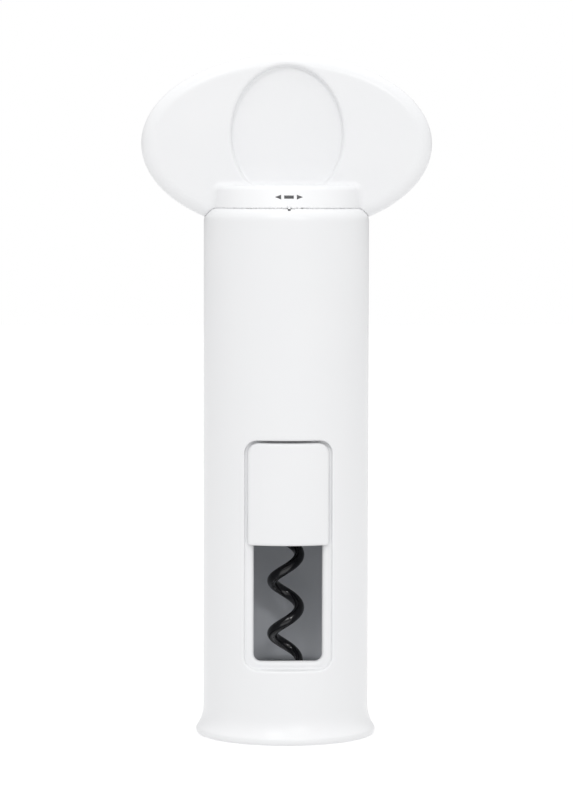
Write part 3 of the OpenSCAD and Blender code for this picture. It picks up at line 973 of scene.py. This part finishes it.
def dress(slot_materials):
    """Gives every CAD node the material of its slot in the record."""
    slots = {s["node"]: s["material_slot"] for s in frame["record"]["subparts"]}
    for name, obj in frame["nodes"].items():
        obj.data.materials.clear()
        obj.data.materials.append(slot_materials[slots[name]])


def paint(pieces, mat):
    """Gives pieces one material."""
    for piece in pieces:
        piece.data.materials.clear()
        piece.data.materials.append(mat)


# ---- Studio ----


def build_studio():
    """The pale floor, the soft sky and the two lights."""
    mesh = bpy.data.meshes.new("floor")
    signs = [(-1, -1), (1, -1), (1, 1), (-1, 1)]
    corners = [(FLOOR_HALF * i, FLOOR_HALF * j, 0) for i, j in signs]
    mesh.from_pydata(corners, [], [(0, 1, 2, 3)])
    floor = bpy.data.objects.new("floor", mesh)
    bpy.context.collection.objects.link(floor)
    mesh.materials.append(floor_white())
    floor.visible_diffuse = False
    floor.visible_shadow = False

    # White where the camera looks, and elsewhere a soft sky: brightest overhead, dimmest at the
    # horizon, and bright again below it
    world = bpy.data.worlds.new("studio")
    world.use_nodes = True
    bpy.context.scene.world = world
    tree = world.node_tree
    tree.nodes.clear()
    seen = node(tree, "ShaderNodeBackground", Color=(1, 1, 1, 1), Strength=1.0)
    lit = node(tree, "ShaderNodeBackground", Color=(1, 1, 1, 1))
    direction = tree.nodes.new("ShaderNodeTexCoord").outputs["Generated"]
    split = node(tree, "ShaderNodeSeparateXYZ")
    tree.links.new(direction, split.inputs[0])
    up = ramp(tree, split.outputs["Z"], SKY_HORIZON, SKY_TOP, 0, 1)
    down = ramp(tree, split.outputs["Z"], SKY_BELOW - SKY_HORIZON, 0, -SKY_DUSK, 0)
    total = node(tree, "ShaderNodeMath", operation="ADD")
    tree.links.new(up, total.inputs[0])
    tree.links.new(down, total.inputs[1])
    tree.links.new(total.outputs[0], lit.inputs["Strength"])
    path = node(tree, "ShaderNodeLightPath")
    choose = node(tree, "ShaderNodeMixShader")
    tree.links.new(path.outputs["Is Camera Ray"], choose.inputs[0])
    tree.links.new(lit.outputs[0], choose.inputs[1])
    tree.links.new(seen.outputs[0], choose.inputs[2])
    out = node(tree, "ShaderNodeOutputWorld")
    tree.links.new(choose.outputs[0], out.inputs["Surface"])

    def area(name, place, size, power):
        """A square light that looks at the object's middle."""
        data = bpy.data.lights.new(name, "AREA")
        data.shape = "SQUARE"
        data.size = size
        data.energy = power
        light = bpy.data.objects.new(name, data)
        light.location = place
        aim = Vector(LIGHT_AIM) - Vector(place)
        light.rotation_euler = aim.to_track_quat("-Z", "Y").to_euler()
        bpy.context.collection.objects.link(light)

    area("key_light", KEY_PLACE, KEY_SIZE, KEY_POWER)
    area("front_light", FRONT_PLACE, FRONT_SIZE, FRONT_POWER)


def build_camera():
    """A long lens at the height of the body's top, tilted a little down."""
    data = bpy.data.cameras.new("camera")
    data.lens = CAMERA_LENS
    data.sensor_width = CAMERA_SENSOR
    data.clip_start = CAMERA_CLIP
    camera = bpy.data.objects.new("camera", data)
    turn = math.radians(CAMERA_AZIMUTH)
    camera.location = (
        CAMERA_DISTANCE * math.sin(turn),
        -CAMERA_DISTANCE * math.cos(turn),
        BODY_TOP * MM,
    )
    camera.rotation_euler = (math.radians(90 - CAMERA_TILT), math.radians(CAMERA_ROLL), turn)
    bpy.context.collection.objects.link(camera)
    bpy.context.scene.camera = camera


# ---- Scene ----

bpy.context.scene.view_settings.view_transform = "Standard"
build_camera()
build_studio()

body_skin = build_body_shell()
handle_skins = build_handle()
slide_skin = build_thumb_slide()
worm_skin = build_worm()
marks = build_marks()

finishes = {
    "white_shell": white_plastic(),
    "grey_liner": liner_plastic(),
    "grey_moulding": moulding_plastic(),
    "acetal": acetal_plastic(),
    "soft_pad": soft_pad(),
    "cast_drive": cast_metal(),
    "screw_steel": plated_steel(),
    "black_worm": worm_coat(),
}
dress(finishes)
paint([body_skin, slide_skin, *handle_skins], finishes["white_shell"])
paint([worm_skin], finishes["black_worm"])
paint(marks, mark_ink())
